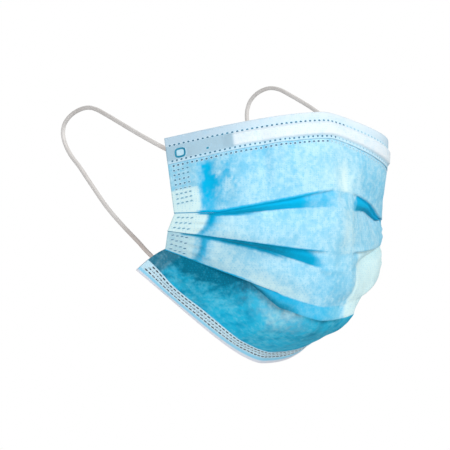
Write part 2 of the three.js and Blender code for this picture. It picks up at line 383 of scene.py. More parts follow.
    def softness(self) -> np.ndarray:
        """How far the soft cloth stands off its plain form at each point."""
        t = self.places[:, None]
        down, total = self.down, self.down[:, -1:]
        off = np.zeros_like(down)
        edge = np.clip((self.half - np.abs(t) - self.weld_width + 4) / 14, 0, 1)
        hem = np.clip((down - 15) / 14, 0, 1) * np.clip((total - down - 9) / 12, 0, 1)
        calm = edge * hem * np.clip(np.minimum(self.share, 1 - self.share) * 6 + 0.25, 0, 1)
        for i, row in enumerate(self.bare):
            for k, point in enumerate(row):
                if calm[i, k] > 0:
                    wide = noise.noise(Vector(point * (0.045, 0.045, 0.05)) + Vector((3, 0, 0)))
                    fine = noise.noise(Vector(point * (0.17, 0.17, 0.1)) + Vector((0, 7, 0)))
                    off[i, k] = calm[i, k] * (self.wave * wide + self.crinkle * fine)
        for dent in self.dents:
            on = (self.panel == dent.panel)
            height = (down[:, on][:, -1] - down[:, on][:, 0])[:, None]
            away = ((t - dent.across) / dent.wide) ** 2
            away = away + ((self.share[on][None] - dent.down) * height / dent.tall) ** 2
            fade = np.clip(np.minimum(self.share[on], 1 - self.share[on]) * 8, 0, 1)[None]
            off[:, on] += dent.depth * np.exp(-away) * fade
        for valley in self.valleys + self.ridges:
            on = (self.panel == valley.panel)
            share = self.share[on][None]
            fall = bell(valley.away(t, share), 0, 1) * np.sqrt(np.sin(math.pi * share).clip(0, 1))
            off[:, on] += valley.depth * fall
        reach = np.abs(t)
        band_edge = self.half - self.weld_width
        for number, rays in enumerate(self.weld_rays):
            on = (self.panel == number)
            ripple = np.sin(math.pi * (2 * rays * self.share[on] + 0.3 * number))[None]
            spread = bell(reach, band_edge - 3, 9) * (reach < band_edge + 3)
            fade = np.sin(math.pi * self.share[on])[None]
            off[:, on] += self.weld_ripple * ripple * spread * fade
        return off

    def depth_of(self, t: float, panel: int, share: float) -> float:
        """How far below the top edge a share of a panel's height lies at t."""
        where = int(round((t + self.half) / self.flat_width * self.stations))
        on = (self.panel == panel)
        return float(np.interp(share, self.share[on], self.down[where, on]))

    def surface(self, t: float, distance: float, out: float = 0.0, bottom: bool = False) -> np.ndarray:
        """A point off the cloth.

        Args:
            t: The place along the cloth.
            distance: How far down from the top edge it is, or up from the bottom edge.
            out: How far outward it stands.
            bottom: Measures from the bottom edge.

        Returns:
            The point in millimetres.
        """
        where = (np.clip(t, -self.half, self.half) + self.half) / self.flat_width * self.stations
        i = min(int(where), self.stations - 1)
        mix = where - i
        found = np.zeros(3)
        for j, weight in ((i, 1 - mix), (i + 1, mix)):
            down = self.down[j]
            d = down[-1] - distance if bottom else distance
            point = np.array([np.interp(d, down, self.points[j, :, k]) for k in range(3)])
            way = np.array([np.interp(d, down, self.ways[j, :, k]) for k in range(3)])
            found += weight * (point + way * out)
        return found


class Wire:
    """A shader socket that can be reckoned with as a number."""

    def __init__(self, graph: "Graph", socket: bpy.types.NodeSocket) -> None:
        """Keeps the socket and the graph that new nodes go into."""
        self.graph = graph
        self.socket = socket

    def _do(self, operation: str, *others: "Wire | float", clamp: bool = False) -> "Wire":
        """One Math node on this value and others."""
        return self.graph.node("ShaderNodeMath", {"operation": operation, "use_clamp": clamp},
                               {i: value for i, value in enumerate((self, *others))})

    def __add__(self, other: "Wire | float") -> "Wire":
        """Sum."""
        return self._do("ADD", other)

    __radd__ = __add__

    def __sub__(self, other: "Wire | float") -> "Wire":
        """Difference."""
        return self._do("SUBTRACT", other)

    def __rsub__(self, other: "Wire | float") -> "Wire":
        """Difference from a number."""
        return self.graph.node("ShaderNodeMath", {"operation": "SUBTRACT"}, {0: other, 1: self})

    def __mul__(self, other: "Wire | float") -> "Wire":
        """Product."""
        return self._do("MULTIPLY", other)

    __rmul__ = __mul__

    def clamped(self) -> "Wire":
        """This value kept between 0 and 1."""
        return self._do("ADD", 0.0, clamp=True)

    def sine(self) -> "Wire":
        """The sine of this angle."""
        return self._do("SINE")

    def spread(self, low: float, high: float, to_low: float = 0.0, to_high: float = 1.0) -> "Wire":
        """This value carried smoothly from one range to another."""
        return self.graph.node("ShaderNodeMapRange", {"interpolation_type": "SMOOTHSTEP"}, {
            "Value": self, "From Min": low, "From Max": high, "To Min": to_low, "To Max": to_high,
        })


Colour = tuple[float, float, float]


def linear(code: str) -> Colour:
    """The scene colour of a hexadecimal screen colour."""
    channels = [int(code[i:i + 2], 16) / 255 for i in (0, 2, 4)]
    return tuple(c / 12.92 if c <= 0.04045 else ((c + 0.055) / 1.055) ** 2.4 for c in channels)


class Graph:
    """One material and its nodes."""

    def __init__(self, name: str) -> None:
        """Makes an empty material of that name."""
        self.material = bpy.data.materials.new(name)
        self.material.use_nodes = True
        self.tree = self.material.node_tree
        self.tree.nodes.clear()
        self.output = self.tree.nodes.new("ShaderNodeOutputMaterial")

    def node(self, kind: str, settings: dict | None = None, inputs: dict | None = None,
             output: int | str = 0) -> Wire:
        """Adds a node.

        Args:
            kind: The node's type.
            settings: Its properties, set first; ramp holds the stops of a colour ramp.
            inputs: Values or wires for its sockets, by name or number.
            output: The socket that is given back.

        Returns:
            The output as a wire.
        """
        made = self.tree.nodes.new(kind)
        for key, value in (settings or {}).items():
            if key == "ramp":
                self._stops(made.color_ramp, value)
            else:
                setattr(made, key, value)
        for key, value in (inputs or {}).items():
            socket = made.inputs[key]
            if isinstance(value, Wire):
                self.tree.links.new(value.socket, socket)
            elif isinstance(value, tuple) and len(value) == 3 and socket.type == "RGBA":
                socket.default_value = (*value, 1)
            else:
                socket.default_value = value
        return Wire(self, made.outputs[output])

    @staticmethod
    def _stops(ramp: bpy.types.ColorRamp, stops: Iterable[tuple[float, Colour]]) -> None:
        """Gives a colour ramp its stops."""
        stops = list(stops)
        while len(ramp.elements) < len(stops):
            ramp.elements.new(1)
        for element, (place, colour) in zip(ramp.elements, stops):
            element.position = place
            element.color = (*colour, 1)

    def mix(self, low: "Wire | Colour", high: "Wire | Colour", factor: "Wire | float") -> Wire:
        """A colour between two."""
        return self.node("ShaderNodeMix", {"data_type": "RGBA"}, {0: factor, 6: low, 7: high}, 2)

    def place(self) -> Wire:
        """The place on the piece, in metres."""
        return self.node("ShaderNodeTexCoord", output="Object")

    def across_and_down(self) -> tuple[Wire, Wire]:
        """The piece's own two texture places."""
        spot = self.node("ShaderNodeUVMap", {"uv_map": "UVMap"})
        across = self.node("ShaderNodeSeparateXYZ", None, {0: spot})
        return across, Wire(self, across.socket.node.outputs[1])

    def noise(self, place: Wire, size_mm: float, detail: float = 2.0, rough: float = 0.5) -> Wire:
        """Cloudy noise from 0 to 1 at a place."""
        return self.node("ShaderNodeTexNoise", {"noise_dimensions": "3D"},
                         {"Vector": place, "Scale": 1000 / size_mm, "Detail": detail, "Roughness": rough})

    def bump(self, height: Wire, strength: float, depth_mm: float = 0.1) -> Wire:
        """Small relief as a normal."""
        return self.node("ShaderNodeBump", None,
                         {"Strength": strength, "Distance": depth_mm * MM, "Height": height})

    def finish(self, **inputs: "Wire | float | Colour") -> bpy.types.Material:
        """Closes the material with its main shader.

        Args:
            inputs: The shader's sockets, with underscores for blanks.

        Returns:
            The material.
        """
        shader = self.node("ShaderNodeBsdfPrincipled", None,
                           {key.replace("_", " "): value for key, value in inputs.items()})
        self.tree.links.new(shader.socket, self.output.inputs["Surface"])
        return self.material


@dataclass(frozen=True)
class FibreCloth:
    """Pressed fibre cloth: cloudy where fibres gather, and pressed in a fine grid of points."""

    name: str
    roughness: float = 0.82
    clump_mm: float = 2.6
    cloud_mm: float = 12.0
    point_mm: float = 1.15
    relief: float = 0.3

    def points(self, graph: Graph, place: Wire) -> Wire:
        """The grid of pressed points, from 0 in a point to 1 between them."""
        cells = graph.node("ShaderNodeTexVoronoi", {"feature": "F1"},
                           {"Vector": place, "Scale": 1000 / self.point_mm, "Randomness": 0.3})
        return cells.spread(0.12, 0.38)

    def relief_of(self, graph: Graph, place: Wire) -> Wire:
        """The cloth's small relief as a normal."""
        fibres = graph.noise(place, 0.6, 3, 0.7)
        clumps = graph.noise(place, self.clump_mm, 2, 0.55)
        height = fibres * 0.6 + clumps * 0.8 + self.points(graph, place) * 0.35
        return graph.bump(height, self.relief, 0.25)


@dataclass(frozen=True)
class PlainCloth(FibreCloth):
    """Undyed cloth of the inner ply."""

    colour: Colour = linear("E6EFF3")
    second: Colour = linear("DAE8F0")

    def made(self) -> bpy.types.Material:
        """The material."""
        graph = Graph(self.name)
        place = graph.place()
        clouds = graph.noise(place, self.cloud_mm, 3, 0.6)
        base = graph.mix(self.second, self.colour, clouds.spread(0.25, 0.75))
        base = graph.mix(graph.mix(base, linear("B9CFDC"), 0.5), base, self.points(graph, place))
        return graph.finish(Base_Color=base, Roughness=self.roughness, Normal=self.relief_of(graph, place),
                            Sheen_Weight=0.1, Sheen_Roughness=0.5, Specular_IOR_Level=0.25)


@dataclass(frozen=True)
class BodyCloth(FibreCloth):
    """The blue cloth of the body.

    Its painted attribute says how cyan (red), pale (green), dark (blue) and teal (alpha) a place is; cyan,
    dark and teal are painted shade, pale is painted highlight.
    """

    light: Colour = linear("B2DEEF")
    mid: Colour = linear("8ACBE6")
    # cyan, teal, teal_light and dark are colours of painted shade; pale is the colour of painted highlight
    cyan: Colour = linear("00B0E0")
    teal: Colour = linear("22B6DC")
    teal_light: Colour = linear("5CC6E2")
    dark: Colour = linear("026F8C")
    pale: Colour = linear("D6EFEF")

    def made(self) -> bpy.types.Material:
        """The material."""
        graph = Graph(self.name)
        place = graph.place()
        paint = graph.node("ShaderNodeVertexColor", {"layer_name": "paint"})
        teal = Wire(graph, paint.socket.node.outputs[1])
        parts = graph.node("ShaderNodeSeparateColor", None, {0: paint}).socket.node
        cyan, pale, dark = (Wire(graph, parts.outputs[i]) for i in range(3))
        clouds = graph.noise(place, self.cloud_mm, 3, 0.6)
        clumps = graph.noise(place, self.clump_mm, 3, 0.6)
        mottle = clouds * 0.45 + clumps * 0.55
        lean = mottle - 0.5
        base = graph.mix(self.mid, self.light, mottle.spread(0.36, 0.64))
        under = graph.mix(self.teal, self.teal_light, mottle.spread(0.42, 0.66))
        # painted shade: the chin panel in the teal of shaded cloth
        base = graph.mix(base, under, teal)
        # painted shade: deep cyan in the folds and creases
        base = graph.mix(base, self.cyan, (cyan - lean * cyan * (1 - cyan) * 5).clamped())
        # painted shade: darker still in the deepest folds and under the chin
        base = graph.mix(base, self.dark, (dark - lean * dark * 1.7).clamped())
        # painted highlight on lit ridges, the far wing and the flattened cloth by the bands
        base = graph.mix(base, self.pale, (pale + lean * pale * (1 - pale) * 4).clamped())
        base = graph.mix(graph.mix(base, self.cyan, 0.3), base, self.points(graph, place))
        return graph.finish(Base_Color=base, Roughness=self.roughness, Normal=self.relief_of(graph, place),
                            Sheen_Weight=0.03, Sheen_Roughness=0.5, Specular_IOR_Level=0.06)


@dataclass(frozen=True)
class HemCloth(FibreCloth):
    """The pale cloth of a hem, in bands by its distance from the edge."""

    bands: tuple[tuple[float, str], ...] = ()
    width: float = 20.0
    wired: bool = False

    def made(self) -> bpy.types.Material:
        """The material."""
        graph = Graph(self.name)
        place = graph.place()
        across, down = graph.across_and_down()
        base = graph.node("ShaderNodeValToRGB", {
            "ramp": [(edge / self.width, linear(code)) for edge, code in self.bands],
        }, {0: down})
        if self.wired:
            near = across.spread(0.212, 0.2) + across.spread(0.788, 0.8)
            flat = near * down.spread(0.22, 0.26) * down.spread(0.66, 0.62)
            base = graph.mix(base, linear("A8C6D6"), flat)
            edge = across.spread(0.42, 0.1) + across.spread(0.58, 0.9)
            base = graph.mix(base, linear("B4CEDF"), (edge * down.spread(0.24, 0.2)).clamped() * 0.85)
        clumps = graph.noise(place, self.clump_mm, 3, 0.6)
        clouds = graph.noise(place, self.cloud_mm, 2, 0.5)
        base = graph.mix(base, linear("A4D2EC"), (clumps * 0.5 + clouds * 0.5).spread(0.48, 0.72, 0, 0.35))
        base = graph.mix(graph.mix(base, linear("9CCBE4"), 0.3), base, self.points(graph, place))
        return graph.finish(Base_Color=base, Roughness=self.roughness, Normal=self.relief_of(graph, place),
                            Sheen_Weight=0.1, Sheen_Roughness=0.5, Specular_IOR_Level=0.25)


@dataclass(frozen=True)
class Pressed:
    """Melted fibre at a weld, smoother and darker than the cloth round it, in two screen colours."""

    name: str
    colour: str
    second: str
    roughness: float = 0.5

    def made(self) -> bpy.types.Material:
        """The material."""
        graph = Graph(self.name)
        place = graph.place()
        spots = graph.noise(place, 5, 2, 0.6)
        base = graph.mix(linear(self.colour), linear(self.second), spots.spread(0.35, 0.7))
        fine = graph.noise(place, 0.5, 2, 0.6)
        return graph.finish(Base_Color=base, Roughness=self.roughness, Normal=graph.bump(fine, 0.2),
                            Specular_IOR_Level=0.35)


@dataclass(frozen=True)
class Elastic:
    """Fine knitted round elastic, ribbed along and stitched across, duller towards its welded ends."""

    name: str
    length_mm: float
    light: Colour = linear("DDD9D6")
    dark: Colour = linear("C3BCB7")
    dull: Colour = linear("B3A197")
    ribs: int = 9
    stitch_mm: float = 0.8

    def made(self) -> bpy.types.Material:
        """The material."""
        graph = Graph(self.name)
        round_it, along = graph.across_and_down()
        ribs = (round_it * (2 * math.pi * self.ribs)).sine()
        stitch = (along * (2 * math.pi / self.stitch_mm) + ribs * 1.2).sine()
        knit = ribs * 0.5 + stitch * 0.5
        place = graph.place()
        worn = graph.noise(place, 14, 2, 0.5)
        base = graph.mix(self.dark, self.light, (knit * 0.1 + worn * 1.1).clamped())
        ends = along.spread(16, 6) + along.spread(self.length_mm - 45, self.length_mm - 10)
        base = graph.mix(base, self.dull, ends.clamped() * 0.6)
        return graph.finish(Base_Color=base, Roughness=0.85, Normal=graph.bump(knit, 0.3),
                            Sheen_Weight=0.2, Sheen_Roughness=0.5, Specular_IOR_Level=0.25)


@dataclass(frozen=True)
class Coat:
    """The matt white coat of the nose wire."""

    name: str
    colour: Colour = linear("F0F3F4")

    def made(self) -> bpy.types.Material:
        """The material."""
        graph = Graph(self.name)
        place = graph.place()
        grain = graph.noise(place, 1.5, 2, 0.5)
        base = graph.mix(self.colour, linear("DDE4E8"), grain.spread(0.4, 0.7))
        return graph.finish(Base_Color=base, Roughness=0.55, Normal=graph.bump(grain, 0.15))


def sheet_mesh(name: str, columns: int, rows: int, place: Callable[[int, int], np.ndarray],
               uv: Callable[[int, int], tuple[float, float]],
               paint: Callable[[int, int], tuple[float, float, float, float]] | None = None,
               thickness: float = 0.0, lined: bool = False) -> bpy.types.Object:
    """A cloth strip: a flat grid that is moved onto its form and given a wall.

    Args:
        name: The object's name.
        columns: Parts across.
        rows: Parts down.
        place: The place in millimetres of a column and a row.
        uv: The texture place of a column and a row.
        paint: The colour attribute of a column and a row.
        thickness: The wall in millimetres, inward.
        lined: Gives the inner face the second material.

    Returns:
        The object.
    """
    bm = bmesh.new()
    bmesh.ops.create_grid(bm, x_segments=columns, y_segments=rows, size=0.5)
    spots = {}
    for vertex in bm.verts:
        i = round((vertex.co.x + 0.5) * columns)
        k = round((0.5 - vertex.co.y) * rows)
        spots[vertex] = (i, k)
    layer = bm.loops.layers.uv.new("UVMap")
    colour = bm.loops.layers.float_color.new("paint") if paint else None
    for face in bm.faces:
        for loop in face.loops:
            loop[layer].uv = uv(*spots[loop.vert])
            if colour:
                loop[colour] = paint(*spots[loop.vert])
    for vertex, (i, k) in spots.items():
        vertex.co = Vector(place(i, k)) * MM
    bm.normal_update()
    obj = finished(name, bm)
    if thickness:
        wall = obj.modifiers.new("wall", "SOLIDIFY")
        wall.thickness = thickness * MM
        wall.offset = -1
        wall.material_offset = int(lined)
    return obj


def finished(name: str, bm: bmesh.types.BMesh, smooth: bool = True) -> bpy.types.Object:
    """Turns a bmesh into a linked object.

    Args:
        name: The object's name.
        bm: The shape, which is freed.
        smooth: Shades its faces smooth.

    Returns:
        The object.
    """
    for face in bm.faces:
        face.smooth = smooth
    mesh = bpy.data.meshes.new(name)
    bm.to_mesh(mesh)
    bm.free()
    obj = bpy.data.objects.new(name, mesh)
    bpy.context.scene.collection.objects.link(obj)
    return obj


class ClothPaint:
    """How cyan, pale, dark and teal the cloth is at each of its points, worked out area by area.

    The folds are deeper in colour than the soft light alone makes them, so shade is painted into the
    cloth's colour there, and highlight on the lit places.
    Places along the cloth are in millimetres from the centre plane, below 0 on the wearer's right.
    """

    def __init__(self, form: MaskForm) -> None:
        """Works out the areas and paints shade and highlight into them one after another."""
        self.form = form
        self.down = form.down
        self.t = form.places[:, None] + np.zeros_like(form.down)
        self.share = form.share[None] + np.zeros_like(self.t)
        panel = form.panel[None] + np.zeros_like(self.t)
        self.first, self.second, self.third, self.chin = ((panel == n) * 1.0 for n in range(4))
        self.near = step(-self.t, 42, 56)
        # how much painted shade each facet takes, by how steeply it is turned in
        self.facets = [(panel == n + 0.5) * np.clip(form.turn * 1.3 + shown, 0, 1)
                       for n, shown in enumerate((self.near, self.near, step(self.t, -35, -20)))]
        weld = form.half - form.weld_width
        self.band = step(np.abs(self.t), weld - 0.7, weld + 0.7)
        self.ragged = np.array([[self._raggedness(x, y) for y in row] for x, row in zip(form.places, form.down)])
        # painted shade (cyan, dark, teal) and painted highlight (pale)
        self.cyan, self.pale, self.dark, self.teal = np.zeros((4, *self.t.shape))
        self.top_panel()
        self.middle_panels()
        self.folds()
        self.valleys()
        self.lips()
        self.chin_panel()

    @staticmethod
    def _raggedness(x: float, y: float) -> float:
        """How ragged the painted shade and highlight are at a place on the flat cloth."""
        wide, fine = Vector((x * 0.22, y * 0.16, 2)), Vector((x * 0.6, y * 0.5, 9))
        return noise.noise(wide) + 0.6 * noise.noise(fine)

    def top_panel(self) -> None:
        """Paints shade beside the near welded band and in the creases, and a highlight on the pale ridge
        under the nose.
        """
        t, share, down, first = self.t, self.share, self.down, self.first
        # painted shade in ragged patches beside the near welded band
        near_band_shade = 0.8 * bell(t + 2 * self.ragged, -67.5, 4.5) * step(down, 14, 19) * (1 - step(down, 41, 46))
        near_band_shade += bell(t, -60, 9) * bell(down, 27, 13) * np.clip(0.5 + 1.2 * self.ragged, 0, 0.9)
        # painted shade in two soft creases
        creases = bell(t, -37 + 4 * share, 3) * bell(share, 0.45, 0.3)
        creases += bell(t, -21 - 3 * share, 2.4) * bell(share, 0.5, 0.3)
        # soft painted shade on the far side, left of the centre and in the creases
        soft = 0.15 * step(t, 16, 26) + 0.06 * bell(t, -40, 14) + 0.22 * creases
        self.cyan += first * (1 - self.band) * (near_band_shade + soft)
        # painted highlight on the ridge under the nose and on the flattened cloth by the near band
        ridge = bell(t, 9, 4.5) * step(down, 20, 34) + 0.35 * bell(t, 2, 16) * bell(down, 30, 14)
        self.pale += first * (0.8 * ridge + 0.9 * step(down, 28.2, 29.4) * step(-t, 71.5, 73.5))

    def middle_panels(self) -> None:
        """Paints shade and highlight on the second and third panels, with painted light on the pale wing at
        the far side and on the blue band.
        """
        t, share, second, third = self.t, self.share, self.second, self.third
        both = second + third
        # painted shade under the folds on the near side, at the third panel's centre and on its band
        self.cyan += both * 0.1 * bell(share, 0.08, 0.12) * step(-t, 0, 20)
        self.cyan += third * (0.2 * bell(t, 3, 14) + 0.6 * self.band)
        # painted highlight on the ridge and beside the near band
        self.pale += second * 0.3 * bell(t, 12, 6) + both * 0.2 * step(-t, 40, 55) * step(t, -64, -60)
        # painted light on the far wing, along the third panel's lower fold and on its band
        wing = 27 - 9 * share
        soft = 0.12 * bell(t, -38, 26) + 0.55 * bell(share, 0.9, 0.2) * bell(t, -26, 20)
        self.pale += third * (0.85 * step(t, wing - 1, wing + 1.5) + soft + 0.4 * self.band)

    def folds(self) -> None:
        """Paints shade on the facets that show inside the three open pleats, and highlight where they lie
        open and lit beyond the ridge.
        """
        t, share = self.t, self.share
        top, middle, low = self.facets
        far = 21 - 10 * share
        # painted shade in the facets, lighter where the pleats open flat at the centre
        self.cyan += top * (1 - 0.32 * step(t, -20, -12) - 0.68 * step(t, 3, 6) + step(t, far, far + 2))
        end = -11 + 13 * share
        self.cyan += middle * (1 - step(t, end - 5, end + 2))
        self.cyan += low * (0.85 - 0.3 * step(t, -24, -6) - 0.35 * step(t, -6, 10)) * (1 - step(t, 14, 20))
        # painted highlight where the facets open flat on the far side
        self.pale += middle * 0.7 * step(t, 24, 28) + low * 0.85 * step(t, 16, 19)
        # painted shade, deepest on the near side and in the lower part of the far top facet
        self.dark += top * (0.3 * step(-t, 34, 46) + 0.5 * step(t, 18, 22) * step(share, 0.6, 0.7))
        self.dark += middle * (0.3 + 0.35 * step(-t, 16, 34)) * step(-t, 4, 12)
        self.dark += low * (0.7 * step(-t, 26, 46) + 0.9 * step(share, 0.3, 0.95) * step(-t, 10, 20))
        # painted shade: the low facet takes the teal of shaded cloth
        self.teal += low * 0.5 * step(16 - t, 0, 4)

    def valleys(self) -> None:
        """Paints shade in the narrow creases beside the welded bands, and highlight on the pale cloth
        beyond them.
        """
        for valley in self.form.valleys:
            here, beyond, tint = ((self.second, 0.95, 0), (self.third, 0.3, 0.1))[valley.panel - 1]
            away = valley.away(self.t, self.share) * math.copysign(1, valley.upper)
            self.pale += here * beyond * step(away, 0.5, 1.6)
            depth = 1.25 - 0.6 * self.share
            self.cyan += here * (bell(away, -0.4, 1.4) * depth + tint * step(away, 1, 2))
            self.dark += here * bell(away, 0.1, 0.9) * 0.25

    def lips(self) -> None:
        """Paints shadow on the cloth close to each fold on the near side, above its lip and below it, and
        takes away painted highlight there.
        """
        t, share = self.t, self.share
        inner = step(t, -76, -73)
        under_first = self.second * (1 - step(share, 0.04, 0.1)) * self.near * inner
        under_second = self.third * (1 - step(share, 0.03, 0.1)) * step(-t, 20, 34) * step(t, -82, -78)
        above = (self.first + self.second) * step(share, 0.97, 0.99) * step(-t, 0, 12) * inner
        above += self.third * step(share, 0.93, 0.96) * step(-t, 30, 50)
        self.cyan += 1.4 * (under_first + under_second) + above
        self.dark += 0.3 * under_first + 0.5 * under_second
        self.pale *= 1 - np.clip(under_first + under_second + above, 0, 1)

    def chin_panel(self) -> None:
        """Paints shade on the panel under the chin and its welded corner, and a highlight below the crease.
        """
        t, share, chin, ragged = self.t, self.share, self.chin, self.ragged
        # the welded corner, painted in shade
        seam = step(-t, 77, 79.5)
        open_cloth = chin * (1 - seam)
        top = step(0.5 - share, 0, 0.4)
        # painted shadow along the crease under the third fold, and painted shade at the near top of the
        # panel
        crease = 0.8 * bell(share, 0, 0.045) * step(-t, 16, 20)
        crease += 0.6 * bell(share, 0, 0.025) * step(t, -20, -16) * (1 - step(t, 12, 18))
        self.dark += chin * (crease + 0.25 * bell(t, 0, 26) * bell(share, 0.25, 0.2) + 0.95 * seam)
        self.dark += open_cloth * (0.8 * step(-t, 26, 50) * top + 0.35 * step(-t, 40, 62) + 0.4 * ragged)
        # painted shade: ragged deeper cyan over the open cloth
        self.cyan += open_cloth * np.clip(0.1 + 0.8 * ragged, 0, 1)
        self.cyan += chin * 0.7 * bell(t, -73, 3) * bell(share, 0.3, 0.12)
        # painted highlight below the crease
        chin_highlight = bell(t, -20, 13) * bell(share, 0.1, 0.14) * (0.6 + 0.6 * ragged)
        self.pale += chin * (0.05 * seam + 0.5 * chin_highlight)
        # painted shade: the whole panel in the teal of shaded cloth, less at the corner
        self.teal += chin * (1 - 0.7 * seam)

    def channels(self) -> np.ndarray:
        """The four painted shade and highlight amounts of each point, from 0 to 1."""
        return np.clip(np.stack([self.cyan, self.pale, self.dark, self.teal], -1), 0, 1)


@dataclass
class MaskBody:
    """The pleated cloth between the hems."""

    form: MaskForm
    wall: float = 0.3

    def build(self) -> bpy.types.Object:
        """Models and dresses the cloth.

        Returns:
            The finished piece.
        """
        form = self.form
        columns, rows = form.stations, form.points.shape[1] - 1
        # painted shade and highlight for the cloth's colour
        paint = ClothPaint(form).channels()
        obj = sheet_mesh(
            "mask_body_cloth", columns, rows,
            lambda i, k: form.points[i, k],
            lambda i, k: (form.places[i] / form.flat_width + 0.5, form.down[i, k] / 200),
            lambda i, k: tuple(paint[i, k]),
            self.wall, True,
        )
        obj.data.materials.append(BodyCloth("blue_fibre_cloth").made())
        obj.data.materials.append(PlainCloth("inner_fibre_cloth").made())
        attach(obj, "root")
        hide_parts("mask_body")
        return obj


@dataclass
class Hem:
    """A strip folded over an edge of the cloth."""

    form: MaskForm
    name: str
    node: str
    finish: HemCloth
    bottom: bool
    width: float
    back: float
    wall: float = 0.35
    gap: float = 0.08
    body_wall: float = 0.3
    columns: int = 260
    off_cloth: float = 0.09
    channel: tuple[float, float] | None = None
    wire_half: float = 51.3
    wire_rise: float = 1.32
    shoulder: float = 1.4
    seams: tuple[float, ...] = ()
    pitch: float = DOT_PITCH

    def lift(self, t: float, distance: float) -> float:
        """How far the strip stands off for the wire, and how it dips at the weld rows."""
        off = 0.0
        if self.channel:
            low, high = self.channel
            rise = step(distance, low - self.shoulder, low)
            rise *= 1 - step(distance, high, high + self.shoulder)
            off += self.wire_rise * rise * (1 - step(abs(t), self.wire_half, self.wire_half + 7))
        for seam in self.seams:
            pinch = 0.55 + 0.45 * math.cos(2 * math.pi * t / self.pitch)
            off -= 0.07 * bell(distance, seam, 0.8) * pinch
        return off + 0.05 * noise.noise(Vector((t * 0.35, distance * 0.5, 4.0)))

    def outer(self, t: float, distance: float) -> float:
        """How far the strip's outer face stands off the cloth."""
        on = 1 - step(distance, self.width, self.width + 0.3)
        return self.off_cloth + (self.gap + self.wall + self.lift(t, distance) - self.off_cloth) * on

    def profile(self) -> list[tuple[float, float]]:
        """The strip's section as pairs of a distance from the edge and a standing off the cloth."""
        front = self.gap + self.wall
        back = -self.body_wall - self.gap - self.wall
        outside = [(d, front) for d in np.arange(self.width, 0.9, -0.55)]
        turn = [(0.45, front * 0.98), (0.02, front * 0.55), (-0.12, (front + back) / 2), (0.02, back * 0.7),
                (0.45, back * 0.98)]
        inside = [(d, back) for d in np.arange(0.9, self.back, 1.0)]
        return outside + turn + inside

    def build(self) -> bpy.types.Object:
        """Models and dresses the strip.

        Returns:
            The finished piece.
        """
        profile = self.profile()
        rows = len(profile) - 1
        order = profile if self.bottom else profile[::-1]

        def place(i: int, k: int) -> np.ndarray:
            """The point of a column and a row."""
            t = self.form.flat_width * (i / self.columns - 0.5)
            distance, out = order[k]
            if out > 0 and distance > 0.5:
                out += self.lift(t, distance)
            return self.form.surface(t, distance, out, self.bottom)

        obj = sheet_mesh(
            self.name, self.columns, rows, place,
            lambda i, k: (i / self.columns, (order[k][0] if order[k][1] > 0 else -order[k][0] * 0.2) / 20),
            None, self.wall,
        )
        obj.data.materials.append(self.finish.made())
        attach(obj, "root")
        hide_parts(self.node)
        return obj


@dataclass(frozen=True)
class DotRow:
    """A row of weld dots between two places along the cloth.

    It lies at a distance from an edge, or at a share of a panel's height.
    """

    start: float
    end: float
    distance: float = 0.0
    panel: int | None = None
    pitch: float = DOT_PITCH
    long: float = 1.3
    tall: float = 1.0
    pit: int = 1


@dataclass
class Impressions:
    """What the welding wheels press into one strip or cloth: dots, and a frame over each cord's end."""

    form: MaskForm
    name: str
    rows: list[DotRow]
    finishes: tuple[Pressed, ...]
    slot: str
    lift: Callable[[float, float], float]
    bottom: bool = False
    frames: tuple[tuple[float, float], ...] = ()
    frame_wide: float = 6.4
    frame_tall: float = 5.6
    ring: float = 0.24

    def dot(self, bm: bmesh.types.BMesh, row: DotRow, t: float) -> None:
        """Adds a flat dot with its rim at a place."""
        distance = row.distance if row.panel is None else self.form.depth_of(t, row.panel, row.distance)
        y = distance if self.bottom else -distance
        size = Matrix.Diagonal((row.long / 2 + self.ring, row.tall / 2 + self.ring, 1, 1))
        made = bmesh.ops.create_circle(bm, cap_ends=True, segments=12, radius=1,
                                       matrix=Matrix.Translation((t, y, 0.0)) @ size)
        face = made["verts"][0].link_faces[0]
        self.press(bm, face, ((self.ring * 0.5, 0.08, 0), (self.ring * 0.5, -0.05, row.pit)))

    @staticmethod
    def press(bm: bmesh.types.BMesh, face: bmesh.types.BMFace,
              steps: Iterable[tuple[float, float, int]]) -> None:
        """Insets a flat face in steps.

        Args:
            bm: The shape.
            face: The face, turned up first.
            steps: A width, a rise and the inner face's material for each step.
        """
        if face.normal.z < 0:
            bmesh.ops.reverse_faces(bm, faces=[face])
        for width, rise, material in steps:
            face.normal_update()
            bmesh.ops.inset_region(bm, faces=[face], use_boundary=True, thickness=width, depth=rise,
                                   use_even_offset=True)
            face.material_index = material

    def frame(self, bm: bmesh.types.BMesh, t: float, distance: float) -> None:
        """Adds a pressed frame with rounded corners at a place."""
        y = distance if self.bottom else -distance
        made = bmesh.ops.create_circle(bm, cap_ends=True, segments=36, radius=1)
        for vertex in made["verts"]:
            angle = math.atan2(vertex.co.y, vertex.co.x)
            bulge = (abs(math.cos(angle)) ** 3 + abs(math.sin(angle)) ** 3) ** (-1 / 3)
            vertex.co = Vector((t + self.frame_wide / 2 * bulge * math.cos(angle),
                                y + self.frame_tall / 2 * bulge * math.sin(angle), 0))
        face = made["verts"][0].link_faces[0]
        face.normal_update()
        self.press(bm, face, ((0.15, 0.3, 1), (0.9, -0.1, 1), (0.15, 0.14, 0)))

    def build(self) -> bpy.types.Object:
        """Models and dresses the impressions.

        Returns:
            The finished piece.
        """
        bm = bmesh.new()
        for row in self.rows:
            for n in range(int(round((row.end - row.start) / row.pitch)) + 1):
                self.dot(bm, row, row.start + n * row.pitch)
        for t, distance in self.frames:
            self.frame(bm, t, distance)
        for vertex in bm.verts:
            t, y, out = vertex.co
            distance = abs(y)
            outer = self.lift(t, distance) + out - 0.02
            vertex.co = Vector(self.form.surface(t, distance, outer, self.bottom)) * MM
        obj = finished(self.name, bm, False)
        for finish in self.finishes:
            obj.data.materials.append(finish.made())
        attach(obj, "root")
        return obj


